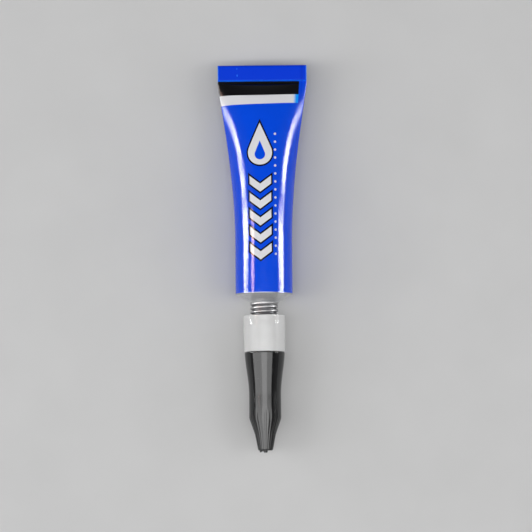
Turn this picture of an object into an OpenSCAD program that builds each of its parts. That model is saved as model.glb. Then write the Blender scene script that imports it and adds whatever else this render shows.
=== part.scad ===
// Super glue tube: a soft aluminium tube with a rolled tail, a screw-on nozzle that pierces the neck
// and a push-on cap. The tube lies along Y on its round belly, tail at +Y, cap at -Y, print side up.
// Lengths are in millimetres. Along the axis, places count from the shoulder edge towards the cap.

/* [Tube] */
// Outer diameter of the round end
tube_d = 13.5; // [11:0.1:16]
// Thickness of the metal wall
wall = 0.15; // [0.12:0.01:0.2]
// Length from the shoulder edge to the lower edge of the tail fold
sleeve_len = 50.4; // [40:0.2:70]
// Length behind the shoulder that stays round
round_len = 12; // [6:0.5:18]
// Radius of the soft side creases where the flattening starts
crease_r = 1.3; // [0.6:0.1:2]

/* [Tail] */
// Height of the rolled fold
fold_h = 3.8; // [3:0.1:6]
// Gap between the passes of the fold
fold_gap = 0.06; // [0.04:0.01:0.12]
// Flat pressed strip just below the fold
land_len = 0.5; // [0.2:0.1:1.5]
// Film of sealing latex between the pressed walls
seal_film = 0.04; // [0.02:0.01:0.1]
// Length of the latex bead inside the tail
seal_len = 2.2; // [1:0.1:4]

/* [Shoulder and neck] */
// Height of the conical shoulder
shoulder_h = 1.9; // [1:0.1:3]
// Thickness of the shoulder
shoulder_t = 0.45; // [0.3:0.05:0.8]
// Rounding of the shoulder edge
shoulder_edge_r = 0.3; // [0.1:0.05:0.4]
// Diameter over the crests of the neck thread
neck_d = 6.6; // [6:0.1:7.2]
// Diameter of the hole through the neck
neck_bore_d = 5; // [4:0.1:5.2]
// Length of the neck beyond the shoulder
neck_len = 6.8; // [5.6:0.1:8]
// Bevel at the mouth of the neck
neck_bevel = 0.3; // [0.1:0.05:0.4]
// Thickness of the web that closes the neck
membrane_t = 0.12; // [0.08:0.01:0.2]

/* [Glue] */
// Height of the liquid above the tube's axis as it lies
glue_level = -0.2; // [-2:0.05:1.5]

/* [Nozzle] */
// Length of neck left bare between the shoulder and the collar
neck_show = 3.25; // [3.2:0.05:4]
// Diameter of the collar at its rim
collar_d = 10; // [9.4:0.1:12]
// Diameter of the collar where it meets the cap
collar_end_d = 9.7; // [9:0.1:12]
// Height of the collar
collar_len = 8.6; // [8.4:0.1:12]
// Rounding of the collar's rim
collar_edge_r = 0.45; // [0.2:0.05:0.8]
// Diameter of the plug that the cap pushes on to
plug_d = 7; // [6.4:0.1:7.4]
// Length of the plug
plug_len = 3.6; // [2:0.1:5]
// Diameter of the cone at the plug
cone_d = 5.2; // [4.4:0.1:5.6]
// Diameter of the cone at its tip
tip_d = 1.9; // [1.4:0.1:2.2]
// Length from the collar to the tip
nozzle_reach = 19.4; // [14:0.1:19.8]
// Diameter of the hole at the tip
orifice_d = 0.9; // [0.8:0.05:1.1]
// Diameter of the channel through the spike
channel_d = 1.6; // [1.2:0.05:2]
// Diameter of the piercing spike at its root
spike_d = 3.4; // [2.8:0.1:3.8]
// Diameter of the piercing spike at its point
spike_tip_d = 2; // [1.8:0.1:2.6]

/* [Cap] */
// Length of the cap
cap_len = 23.1; // [21:0.1:30]
// Diameter of the cap at its mouth
cap_mouth_d = 9.5; // [9:0.1:11]
// Diameter of the straight waist
cap_waist_d = 7.56; // [7.2:0.02:8.6]
// Length of the flared skirt
skirt_len = 10.1; // [8:0.1:11]
// Length from the mouth to the end of the waist
waist_end = 15; // [12:0.1:16]
// Rounding between the waist and the nose
nose_round_r = 3; // [1:0.1:3.4]
// Diameter where the nose changes its slope
nose_d = 4.88; // [4.4:0.02:5.4]
// Length from the mouth to that change of slope
nose_at = 19.3; // [18.4:0.1:20]
// Diameter at the end of the cap
cap_end_d = 3.4; // [2.6:0.1:4]
// Rounding of the end of the cap
cap_end_r = 0.5; // [0.2:0.05:0.7]
// Wall of the cap
cap_wall = 0.95; // [0.7:0.05:1.1]
// Length from the mouth to the inner end of the cap
cap_depth = 20; // [19.8:0.1:20.4]
// Diameter of the pin that closes the nozzle's hole
pin_d = 0.6; // [0.4:0.05:0.65]
// Length of the pin
pin_len = 1.4; // [0.8:0.1:2.4]
// Number of grooves round the nose
flute_count = 28; // [12:1:36]
// Depth of the grooves
flute_depth = 0.15; // [0.05:0.01:0.25]
// Length from the mouth to the start of the grooves
flute_at = 14.2; // [12:0.1:15]
// Length over which a groove deepens
flute_run = 1; // [0.4:0.1:2]
// Diameter of the moulding gate left on the end
gate_d = 0.9; // [0.5:0.1:1.4]
// Height of the moulding gate
gate_h = 0.5; // [0.2:0.1:1]

/* [Fits] */
// Radial gap between the neck and the nozzle's bore
thread_clear = 0.08; // [0.05:0.01:0.1]
// Radial gap between the plug and the cap's mouth
push_clear = 0.06; // [0.03:0.01:0.1]
// Gap between the cap's rim and the collar
seat_gap = 0.1; // [0.05:0.01:0.3]
// Gap between the spike and the web before piercing
spike_gap = 0.35; // [0.2:0.05:0.8]
// Distance that the nozzle screws down to pierce the web
screw_in = 3; // [2:0.1:3]
// Room left at the end of the neck when the nozzle is screwed down
stop_gap = 0.3; // [0.2:0.05:0.6]
// Gap between the liquid or the latex bead and the metal
inner_clear = 0.015; // [0.005:0.005:0.018]

/* [Hidden] */
$fn = 72;

// One overrun for all cuts
overrun = 1;

// Shape of the flattening: the bend of each panel falls from a half circle to nearly flat
flare_power_share = 1.7;
flare_ease_share = 0.62;
tail_angle = 0.5;
half_turn = 180;
quarter_turn = 90;

// Facets round the tube, stations along the flare and steps in a rounded edge
round_steps = 48;
flare_steps = 14;
arc_steps = 6;
skirt_steps = 14;

// The inner walls meet at this share of the flare, and the bead of latex ends there
meet_share = 0.995;

// The skirt follows a cosine from this phase to a half turn
skirt_phase = 20;

// Share of each groove's pitch that is cut away
flute_width_share = 0.5;
flute_pitch = 360 / flute_count;

// Slant of the cut that sharpens the spike
spike_bevel = 32;

// Rounding where the neck rises from the shoulder
neck_root_r = 0.3;

// Rounding at the plug's leading edge
plug_bevel = 0.35;

tube_r = tube_d / 2;
axis_z = tube_r;
sheet_half = wall + seal_film / 2;
sheet_t = 2 * sheet_half;
neck_r = neck_d / 2;
neck_end = shoulder_h + neck_len;
collar_at = shoulder_h + neck_show;
engaged = neck_len - neck_show;
collar_bore_r = neck_r + thread_clear;
collar_bore_len = engaged + membrane_t + screw_in + stop_gap;
spike_at = engaged + membrane_t + spike_gap;
cap_at = collar_at + collar_len + seat_gap;
overall_len = fold_h + sleeve_len + cap_at + cap_len + gate_h;
tail_y = overall_len / 2;
fold_y = tail_y - fold_h;
shoulder_y = fold_y - sleeve_len;
flare_len = sleeve_len - round_len - land_len;
flat_w = 2 * quarter_point(1, 1, 0)[0];

// Points of an arc in a profile, from one angle to another
function arc(centre, r, from, to, steps = arc_steps) =
    [for (i = [0 : steps]) let (a = from + (to - from) * i / steps)
        [centre[0] + r * cos(a), centre[1] + r * sin(a)]];

// Share of the flare from the round stretch, 0, to the pressed land, 1
function flare_share(from_shoulder) = min(1, max(0, (from_shoulder - round_len) / flare_len));

// Half the angle that each panel bends through
function panel_angle(share) =
    max(tail_angle, quarter_turn * pow(1 - pow(share, flare_power_share), flare_ease_share));

// Radius of the creases at the two sides
function side_r(share) = crease_r + (sheet_half - crease_r) * share;

// Radius of the panels, so that the metal's length round the tube stays the same all along
function panel_r(share) = let (a = panel_angle(share))
    (half_turn * tube_r - (half_turn - 2 * a) * side_r(share)) / (2 * a);

// Point of the first quarter of a section, at a share of its length from the crown to the side
function quarter_point(share, along, inset) = let (
        a = panel_angle(share),
        big = panel_r(share),
        small = side_r(share),
        run = along * tube_r * quarter_turn,
        bend = run < big * a ? run / big : min(quarter_turn, a + (run - big * a) / small),
        on_panel = run < big * a,
        r = (on_panel ? big : small) - inset,
        centre = on_panel ? [0, -(big - small) * cos(a)] : [(big - small) * sin(a), 0])
    [centre[0] + r * sin(bend), centre[1] + r * cos(bend)];

// Point of the right half of a section, from the crown, 0, past the side, 1, to the belly, 2
function half_point(share, at, inset) = let (p = quarter_point(share, at <= 1 ? at : 2 - at, inset))
    [p[0], at <= 1 ? p[1] : -p[1]];

// Place in the model of a point of a section
function placed(p, from_shoulder) = [p[0], shoulder_y + from_shoulder, axis_z + p[1]];

// Whole section at a distance from the shoulder, as points on a ring
function section(from_shoulder, inset) = let (share = flare_share(from_shoulder))
    [for (i = [0 : round_steps - 1]) let (
            at = 4 * i / round_steps,
            p = half_point(share, at <= 2 ? at : 4 - at, inset))
        placed([at <= 2 ? p[0] : -p[0], p[1]], from_shoulder)];

// Distances from the shoulder at which sections are set, closer together towards the tail
function stations(last_share) = concat([0], [for (i = [0 : flare_steps])
    let (left = 1 - i / flare_steps) round_len + flare_len * last_share * (1 - left * left)]);

function reversed(list) = [for (i = [len(list) - 1 : -1 : 0]) list[i]];

// Closed skin through a row of rings with the same number of points
module skin(rings) {
    n = len(rings[0]);
    last = (len(rings) - 1) * n;
    sides = [for (row = [0 : len(rings) - 2]) for (i = [0 : n - 1])
        let (a = row * n + i, b = row * n + (i + 1) % n, c = b + n, d = a + n) each [[a, b, c], [a, c, d]]];
    ends = [[for (i = [n - 1 : -1 : 0]) i], [for (i = [0 : n - 1]) last + i]];
    polyhedron(points = [for (ring = rings) each ring], faces = concat(sides, ends));
}

// Sets a shape that stands on Z at a place on the tube's axis, pointing towards the cap
module on_axis(from_shoulder) {
    translate([0, shoulder_y - from_shoulder, axis_z]) rotate([quarter_turn, 0, 0]) children();
}

// Lacquered tube wall, round at the shoulder and pressed flat at the tail
module tube_sleeve() {
    outer = [for (y = stations(1)) section(y, 0)];
    inner = [for (y = stations(meet_share)) section(y, wall)];
    color("royalblue") skin(concat([section(sleeve_len, 0)], reversed(outer), inner));
}

// One straight pass of the pressed sheet in the fold's profile
module fold_pass(from, to, middle) {
    translate([from, middle - sheet_half]) square([to - from, sheet_t]);
}

// Half round bend of the sheet in the fold's profile
module fold_bend(at, middle, r, turned) {
    translate([at, middle]) rotate(turned) intersection() {
        difference() {
            circle(r + sheet_half);
            circle(r - sheet_half);
        }
        translate([0, -r - sheet_half]) square([r + sheet_half, 2 * (r + sheet_half)]);
    }
}

// Tail rolled over twice towards the front, so that the raw edge is inside
module tail_fold() {
    pitch = sheet_t + fold_gap;
    top_r = pitch;
    low_r = pitch / 2;
    top = fold_h - top_r - sheet_half;
    low = low_r + sheet_half;
    color("royalblue") translate([-flat_w / 2, fold_y, axis_z]) rotate([quarter_turn, 0, quarter_turn])
        linear_extrude(flat_w) {
            fold_pass(0, top, 0);
            fold_bend(top, top_r, top_r, 0);
            fold_pass(low, top, 2 * pitch);
            fold_bend(low, 2 * pitch - low_r, low_r, half_turn);
            fold_pass(low, top, pitch);
        }
}

// Bead of latex that seals the tail from inside
module tail_seal() {
    steps = 4;
    end = round_len + flare_len * meet_share;
    inset = wall + inner_clear;
    color("oldlace") skin([for (i = [steps : -1 : 0]) section(end - inner_clear - seal_len * i / steps, inset)]);
}

// Conical shoulder and neck of bare aluminium
module shoulder_neck() {
    bore_r = neck_bore_d / 2;
    edge = tube_r - shoulder_edge_r;
    root = neck_r + neck_root_r;
    color("silver") on_axis(0) rotate_extrude() polygon(concat(
        [[tube_r - shoulder_t, 0]],
        arc([edge, 0], shoulder_edge_r, 0, quarter_turn),
        arc([root, shoulder_h + neck_root_r], neck_root_r, -quarter_turn, -half_turn),
        [[neck_r, neck_end - neck_bevel], [neck_r - neck_bevel, neck_end], [bore_r, neck_end],
            [bore_r, shoulder_h - shoulder_t]]));
}

// Thin web that closes the neck until the spike breaks it
module neck_membrane() {
    color("gainsboro") on_axis(neck_end) cylinder(r = neck_r - neck_bevel, h = membrane_t);
}

// Part of a section below the liquid's level, from its right edge under the belly to its left edge
function pool_section(from_shoulder, inset) = let (
        share = flare_share(from_shoulder),
        steps = round_steps / 4,
        heights = [for (at = [2 : -1 / steps : 0]) [half_point(share, at, inset)[1], at]],
        edge_at = lookup(glue_level, heights),
        right = [for (i = [0 : steps]) half_point(share, edge_at + (2 - edge_at) * i / steps, inset)],
        left = [for (i = [steps - 1 : -1 : 0]) [-right[i][0], right[i][1]]])
    [for (p = concat(right, left)) placed(p, from_shoulder)];

// Glue lying in the tube, with a level surface
module adhesive_fill() {
    end = round_len + flare_len * meet_share - seal_len - 2 * inner_clear;
    inset = wall + inner_clear;
    rows = [for (y = stations(meet_share)) if (y < end) max(y, inner_clear)];
    color("whitesmoke") skin([for (y = concat(rows, [end])) pool_section(y, inset)]);
}

// White nozzle: collar over the neck, hollow spike inside, plug for the cap and a long cone
module nozzle() {
    collar_r = collar_d / 2;
    collar_end_r = collar_end_d / 2;
    plug_r = plug_d / 2;
    plug_end = collar_len + plug_len;
    tip = collar_len + nozzle_reach;
    color("white") on_axis(collar_at) difference() {
        rotate_extrude() polygon(concat(
            [[collar_bore_r, 0]],
            arc([collar_r - collar_edge_r, collar_edge_r], collar_edge_r, -quarter_turn, 0),
            [[collar_end_r, collar_len], [plug_r, collar_len], [plug_r, plug_end - plug_bevel],
                [plug_r - plug_bevel, plug_end], [cone_d / 2, plug_end], [tip_d / 2, tip],
                [orifice_d / 2, tip], [orifice_d / 2, tip - pin_len - stop_gap],
                [channel_d / 2, collar_bore_len], [channel_d / 2, spike_at],
                [spike_tip_d / 2, spike_at], [spike_d / 2, collar_bore_len],
                [collar_bore_r, collar_bore_len]]));
        translate([0, 0, spike_at + spike_tip_d / 2 * tan(spike_bevel)]) rotate([spike_bevel, 0, 0])
            translate([0, 0, -spike_tip_d]) cylinder(d = spike_d, h = spike_tip_d);
    }
}

// Outline of the cap from its mouth to its end, as points of radius and place
function skirt_r(share) = (cap_waist_d + (cap_mouth_d - cap_waist_d)
    * (1 + cos(skirt_phase + (half_turn - skirt_phase) * share)) / (1 + cos(skirt_phase))) / 2;

function cap_outline() = let (
        centre = [cap_waist_d / 2 - nose_round_r, waist_end],
        to_break = [nose_d / 2, nose_at] - centre,
        lean = atan2(to_break[1], to_break[0]) - acos(nose_round_r / norm(to_break)),
        end_r = cap_end_d / 2)
    concat(
        [for (i = [0 : skirt_steps]) [skirt_r(i / skirt_steps), skirt_len * i / skirt_steps]],
        arc(centre, nose_round_r, 0, lean),
        [[nose_d / 2, nose_at]],
        arc([end_r - cap_end_r, cap_len - cap_end_r], cap_end_r, 0, quarter_turn));

// Radius of the cap at a distance from its mouth
function cap_r(at) = lookup(at, [for (p = cap_outline()) [p[1], p[0]]]);

// One groove, which deepens from the waist and runs out at the end of the cap
module flute() {
    full = flute_at + flute_run;
    beyond = cap_waist_d / 2 + overrun;
    floor_points = [for (p = cap_outline()) if (p[1] > full) [p[0] - flute_depth, p[1]]];
    rotate_extrude(angle = flute_pitch * flute_width_share) polygon(concat(
        [[cap_r(flute_at), flute_at], [cap_r(full) - flute_depth, full]], floor_points,
        [[cap_end_d / 2 - cap_end_r - flute_depth, cap_len + overrun], [beyond, cap_len + overrun],
            [beyond, flute_at]]));
}

// Black cap: flared skirt, straight waist, grooved nose, and a pin that plugs the nozzle's hole
module cap() {
    mouth_r = plug_d / 2 + push_clear;
    mouth_end = plug_len + stop_gap;
    inner = [for (p = cap_outline()) if (p[1] > mouth_end && p[1] < cap_depth) [p[0] - cap_wall, p[1]]];
    color([0.1, 0.1, 0.11]) on_axis(cap_at) difference() {
        rotate_extrude() polygon(concat(
            [[mouth_r, 0]], cap_outline(),
            [[gate_d / 2, cap_len], [gate_d / 2, cap_len + gate_h], [0, cap_len + gate_h],
                [0, cap_depth - pin_len], [pin_d / 2, cap_depth - pin_len], [pin_d / 2, cap_depth],
                [cap_r(cap_depth) - cap_wall, cap_depth]],
            reversed(inner),
            [[min(mouth_r, cap_r(mouth_end) - cap_wall), mouth_end], [mouth_r, mouth_end]]));
        for (i = [0 : flute_count - 1]) rotate(flute_pitch * (i - flute_width_share / 2)) flute();
    }
}

tube_sleeve();
tail_fold();
tail_seal();
shoulder_neck();
neck_membrane();
adhesive_fill();
nozzle();
cap();
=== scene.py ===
import math

import bmesh
import bpy
import numpy as np
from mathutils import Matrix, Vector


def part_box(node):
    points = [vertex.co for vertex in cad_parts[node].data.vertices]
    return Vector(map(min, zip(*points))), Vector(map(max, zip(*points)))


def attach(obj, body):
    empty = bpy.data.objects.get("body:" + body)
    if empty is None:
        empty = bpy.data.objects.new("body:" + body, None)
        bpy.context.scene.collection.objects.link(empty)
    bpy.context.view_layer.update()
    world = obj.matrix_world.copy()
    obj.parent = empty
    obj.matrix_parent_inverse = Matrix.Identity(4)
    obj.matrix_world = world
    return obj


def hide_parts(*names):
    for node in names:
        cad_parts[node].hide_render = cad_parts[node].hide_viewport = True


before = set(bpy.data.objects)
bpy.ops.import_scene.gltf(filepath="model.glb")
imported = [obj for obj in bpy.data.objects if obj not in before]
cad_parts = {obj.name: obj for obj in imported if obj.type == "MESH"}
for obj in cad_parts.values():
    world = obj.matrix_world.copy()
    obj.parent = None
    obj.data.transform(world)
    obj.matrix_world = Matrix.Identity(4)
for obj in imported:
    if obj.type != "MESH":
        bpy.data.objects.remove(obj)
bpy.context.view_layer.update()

MM = 0.001

# Places and sizes that the frame gives. Along the axis, places count from the shoulder edge to the cap.
wall_low, wall_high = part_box("tube_sleeve")
fold_low, fold_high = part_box("tail_fold")
neck_low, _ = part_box("shoulder_neck")
nozzle_low, nozzle_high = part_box("nozzle")
cap_low, cap_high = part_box("cap")

TUBE_R = (wall_high.z - wall_low.z) / 2
AXIS_Z = (wall_high.z + wall_low.z) / 2
SHOULDER_Y = wall_low.y
WALL_LEN = wall_high.y - wall_low.y
NECK_END = SHOULDER_Y - neck_low.y
COLLAR_AT = SHOULDER_Y - nozzle_high.y
COLLAR_R = (nozzle_high.x - nozzle_low.x) / 2
NOZZLE_LEN = nozzle_high.y - nozzle_low.y
CAP_AT = SHOULDER_Y - cap_high.y
CAP_MOUTH_R = (cap_high.x - cap_low.x) / 2
FOLD_H = fold_high.y - fold_low.y
FOLD_W = fold_high.x - fold_low.x

# Tube wall: how it goes from round to flat
WALL_T = 0.15 * MM
SEAL_FILM = 0.04 * MM
ROUND_LEN = 12 * MM
LAND_LEN = 0.5 * MM
CREASE_R = 1.3 * MM
FLARE_POWER = 1.7
FLARE_EASE = 0.62
TAIL_ANGLE = math.radians(0.5)
MEET_SHARE = 0.995
SHEET_HALF = WALL_T + SEAL_FILM / 2
WALL_COLUMNS = 192
ROUND_ROWS = 14
FLARE_ROWS = 84
SHEET_SHARP = 50.0

# Shallow dents from handling: place round from the crown, place from the shoulder, half sizes, depth
DENTS = (
    (-5.6, 27.5, 2.2, 5.0, 0.10),
    (-4.6, 15.0, 1.6, 6.0, 0.04),
    (5.2, 33.0, 2.4, 6.0, 0.07),
    (1.0, 38.5, 3.6, 3.4, 0.06),
    (4.4, 10.0, 2.0, 4.0, 0.03),
    (-12.5, 22.0, 3.0, 7.0, 0.08),
    (14.0, 30.0, 3.0, 6.0, 0.07),
)

# Rolled tail; the waves of its lip are given as run, share and phase
FOLD_GAP = 0.06 * MM
FOLD_WAVE = 0.025 * MM
FOLD_WAVES = ((1.9 * MM, 1.0, 0.0), (0.83 * MM, 0.6, 1.0))
FOLD_WAVE_TOP = 1.6 * FOLD_WAVE
FOLD_COLUMNS = 64
FOLD_STEPS = 12

# Nicks in the lacquer of the rolled tail: place across, place from its lip, half sizes
NICKS = (
    (-5.9, 1.35, 0.16, 0.34),
    (-5.95, 2.95, 0.14, 0.20),
)

# Shoulder, neck and thread
SHOULDER_H = 1.9 * MM
SHOULDER_T = 0.45 * MM
SHOULDER_EDGE_R = 0.3 * MM
NECK_R = 3.3 * MM
NECK_BORE_R = 2.5 * MM
NECK_ROOT_R = 0.3 * MM
NECK_BEVEL = 0.3 * MM
THREAD_PITCH = 1.0 * MM
THREAD_DEPTH = 0.42 * MM
THREAD_RUNOUT = 0.7 * MM
NECK_COLUMNS = 128
NECK_ROW = THREAD_PITCH / 24
NECK_SHARP = 60.0

# Nozzle; the dip and the ring round its collar are given as place from the rim and depth
COLLAR_END_R = 4.85 * MM
COLLAR_LEN = 8.6 * MM
COLLAR_EDGE_R = 0.14 * MM
COLLAR_RIM_SET = 0.030 * MM
COLLAR_DIP = (1.5 * MM, 0.044 * MM)
COLLAR_RING = (2.0 * MM, 0.025 * MM)
COLLAR_RING_BEND = 5 * MM
COLLAR_BORE_R = 3.38 * MM
COLLAR_BORE_LEN = 6.97 * MM
BORE_THREAD_AT = 0.5 * MM
BORE_THREAD_LEN = COLLAR_BORE_LEN - 1.6 * MM
BORE_THREAD_DEPTH = 0.3 * MM
BORE_REACH = 0.05 * MM
PLUG_R = 3.5 * MM
PLUG_LEN = 3.6 * MM
PLUG_BEAD = 0.03 * MM
CONE_R = 2.6 * MM
TIP_R = 0.95 * MM
ORIFICE_R = 0.45 * MM
ORIFICE_LEN = 1.7 * MM
CHANNEL_R = 0.8 * MM
SPIKE_R = 1.7 * MM
SPIKE_TIP_R = 1.0 * MM
SPIKE_AT = 4.02 * MM
SPIKE_RUN = 2.5 * MM
SPIKE_SLANT = math.radians(32)
NOZZLE_COLUMNS = 112
NOZZLE_ROW = 0.12 * MM
NOZZLE_SHARP = 45.0

# Cap
CAP_LEN = 23.1 * MM
WAIST_R = 3.78 * MM
SKIRT_LEN = 10.1 * MM
SKIRT_PHASE = math.radians(20)
WAIST_END = 15 * MM
NOSE_ROUND_R = 3 * MM
NOSE_R = 2.44 * MM
NOSE_AT = 19.3 * MM
CAP_END_R = 1.7 * MM
CAP_WALL = 0.95 * MM
CAP_DEPTH = 20 * MM
CAP_BORE_R = 3.56 * MM
CAP_BORE_LEN = 3.9 * MM
PIN_R = 0.3 * MM
PIN_LEN = 1.4 * MM
GATE_R = 0.45 * MM
FLUTE_COUNT = 28
FLUTE_DEPTH = 0.045 * MM
FLUTE_AT = 12.9 * MM
FLUTE_RUN = 2.6 * MM
FLUTE_COLUMNS = 12
SKIRT_STEPS = 28
NOSE_STEPS = 10
CAP_ROW = 0.28 * MM
CAP_SHARP = 40.0
GATE_TEAR = 0.1 * MM

# Torn flash beside the gate: heights in millimetres, and where it starts and how far it goes round in degrees
FLASH = (0.06, 0.30, 0.44, 0.20, 0.40, 0.16, 0.28, 0.05)
FLASH_FROM = -82
FLASH_SWEEP = 62

# Print on the wall, in millimetres: u runs round from the crown, v from the shoulder to the tail
MAP_SPAN = 100.0
MAP_STRETCH_SHARE = 0.45
BLACK_TILT = 0.012
BLACK_FROM = 47.13
PALE_TILT = 0.028
PALE_FROM = 44.92
GAP_FROM = 8.75
GAP_TO = 12.4
CYAN_WIDTH = 1.45
SEAM_AT = 9.35
SEAM_WIDTH = 0.55
SEAM_SHARE = 0.45
DROP = {"u": -0.7, "v": 33.0, "radius": 2.9, "reach": 7.2}
HEART = {"u": -0.7, "v": 32.6, "radius": 1.25, "reach": 3.3}
CHEVRONS = {"u": -0.7, "v": 8.6, "count": 5, "pitch": 4.0, "thick": 1.9, "half_width": 2.6, "slope": 0.75}
DOTS = {"u": 2.95, "v": 9.0, "count": 16, "pitch": 1.9, "radius": 0.28}
SIGN_OUTLINE = 0.38
RIM_LINE = 0.07

# Where the lacquer turns satin along the wall's creases, on the same map: past a leaning line, round, along
STRAIN_LEAN = 0.2
STRAIN_PAST = (-1.4, 1.2)
STRAIN_ROUND = (11.0, 17.0)
STRAIN_ALONG = (31.0, 40.5)
STRAIN_SATIN = 0.14

# Lacquer of the rolled tail: a painted highlight that fades from its lip, and rubbing that fades from its
# ends
LIP_GRAIN = 0.3 * MM
LIP_HIGHLIGHT_FADE = (0.12 * MM, 0.32 * MM)
BEND_FADE = (0.40 * MM, 0.50 * MM)
END_FADE = (0.05 * MM, 0.30 * MM)

# Colours, linear
BLUE = (0.0, 0.066, 0.725)
DEEP_BLUE = (0.0, 0.02, 0.42)
SCUFF_BLUE = (0.35, 0.45, 0.85)
# The rolled tail's deeper blue is painted shade, and its lip's paler blue is a painted highlight
FOLD_SHADED_BLUE = (0.0, 0.040, 0.660)
LIP_HIGHLIGHT_BLUE = (0.0, 0.135, 0.920)
RUBBED_BLUE = (0.04, 0.25, 0.90)
SEAM_BLUE = (0.0, 0.022, 0.470)
INK_BLACK = (0.004, 0.004, 0.005)
INK_WHITE = (0.70, 0.70, 0.725)
INK_CYAN = (0.0, 0.30, 0.93)
ALUMINIUM = (0.80, 0.81, 0.82)
ALUMINIUM_DULL = (0.66, 0.67, 0.69)
# The neck's darker grey and the darker grey in its thread grooves are painted shade
NECK_SHADE_GREY = (0.34, 0.34, 0.345)
THREAD_GROOVE_SHADE = (0.06, 0.06, 0.065)
# Dark grey for the bare rim is painted shade that dims its highlight
RIM_SHADE_GREY = (0.30, 0.31, 0.33)
NATURAL_WHITE = (0.635, 0.635, 0.635)
NATURAL_DULL = (0.585, 0.585, 0.58)
NATURAL_FLOW = (0.65, 0.65, 0.65)
CAP_BLACK = (0.004, 0.004, 0.0045)
CAP_SCRATCH = (0.06, 0.06, 0.065)
CAP_DUST = (0.16, 0.16, 0.16)
LATEX = (0.80, 0.74, 0.58)
LATEX_DARK = (0.70, 0.62, 0.45)
GLUE_CLEAR = (0.93, 0.94, 0.92)
GLUE_CLOUD = (0.86, 0.88, 0.84)
FLOOR_PALE = (0.57, 0.57, 0.57)
FLOOR_DULL = (0.55, 0.55, 0.55)

# Sockets that stay constant on the two lacquers
GLOSS_LACQUER = {"Specular IOR Level": 0.3, "IOR": 1.5}
SATIN_LACQUER = {"Specular IOR Level": 0.06, "IOR": 1.5}


# Meshes

def make_piece(name, points, faces, sharp_angle):
    """New object at the origin from points and faces, closed, facing outwards and smooth."""
    mesh = bpy.data.meshes.new(name)
    mesh.from_pydata([tuple(p) for p in points], [], faces)
    tidy = bmesh.new()
    tidy.from_mesh(mesh)
    bmesh.ops.remove_doubles(tidy, verts=tidy.verts, dist=0.0005 * MM)
    bmesh.ops.recalc_face_normals(tidy, faces=tidy.faces)
    tidy.to_mesh(mesh)
    tidy.free()
    smooth_shade(mesh, sharp_angle)
    piece = bpy.data.objects.new(name, mesh)
    bpy.context.scene.collection.objects.link(piece)
    return piece


def smooth_shade(mesh, sharp_angle):
    """Smooth faces, with creases kept at edges sharper than an angle in degrees."""
    mesh.polygons.foreach_set("use_smooth", [True] * len(mesh.polygons))
    mesh.set_sharp_from_angle(angle=math.radians(sharp_angle))


def ring_faces(rows, columns, closed):
    """Quads of a surface that goes round; closed joins the last row to the first."""
    last = rows if closed else rows - 1
    return [
        (
            row * columns + i,
            row * columns + (i + 1) % columns,
            (row + 1) % rows * columns + (i + 1) % columns,
            (row + 1) % rows * columns + i,
        )
        for row in range(last)
        for i in range(columns)
    ]


def soft_corners(points):
    """Outline through points of (along, radius, rounding), with a bend at each rounded corner."""
    steps = 6
    outline = []
    count = len(points)
    for i, (along, radius, rounding) in enumerate(points):
        here = np.array((along, radius))
        if rounding <= 0:
            outline.append(tuple(here))
            continue
        before = np.array(points[i - 1][:2]) - here
        after = np.array(points[(i + 1) % count][:2]) - here
        back_len, on_len = np.linalg.norm(before), np.linalg.norm(after)
        back, on = before / back_len, after / on_len
        half = math.acos(np.clip(back @ on, -1, 1)) / 2
        reach = min(rounding / math.tan(half), 0.45 * back_len, 0.45 * on_len)
        start, end = here + back * reach, here + on * reach
        for step in range(steps + 1):
            t = step / steps
            bend = (1 - t) ** 2 * start + 2 * t * (1 - t) * here + t**2 * end
            outline.append(tuple(bend))
    return outline


def finer(outline, longest):
    """The closed outline with points added so that no stretch is longer than a limit."""
    fine = []
    count = len(outline)
    for i in range(count):
        a, b = np.array(outline[i]), np.array(outline[(i + 1) % count])
        parts = max(1, math.ceil(np.linalg.norm(b - a) / longest))
        fine.extend(tuple(a + (b - a) * k / parts) for k in range(parts))
    return fine


def turned(name, outline, at, columns, sharp_angle):
    """Solid turned round the tube's axis from a closed outline of (along, radius), at a place along it."""
    points = []
    for along, radius in outline:
        for i in range(columns):
            angle = 2 * math.pi * i / columns
            points.append((
                radius * math.sin(angle),
                SHOULDER_Y - at - along,
                AXIS_Z + radius * math.cos(angle),
            ))
    return make_piece(name, points, ring_faces(len(outline), columns, True), sharp_angle)


# Cuts that repeat round the axis, made by Geometry Nodes

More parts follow.
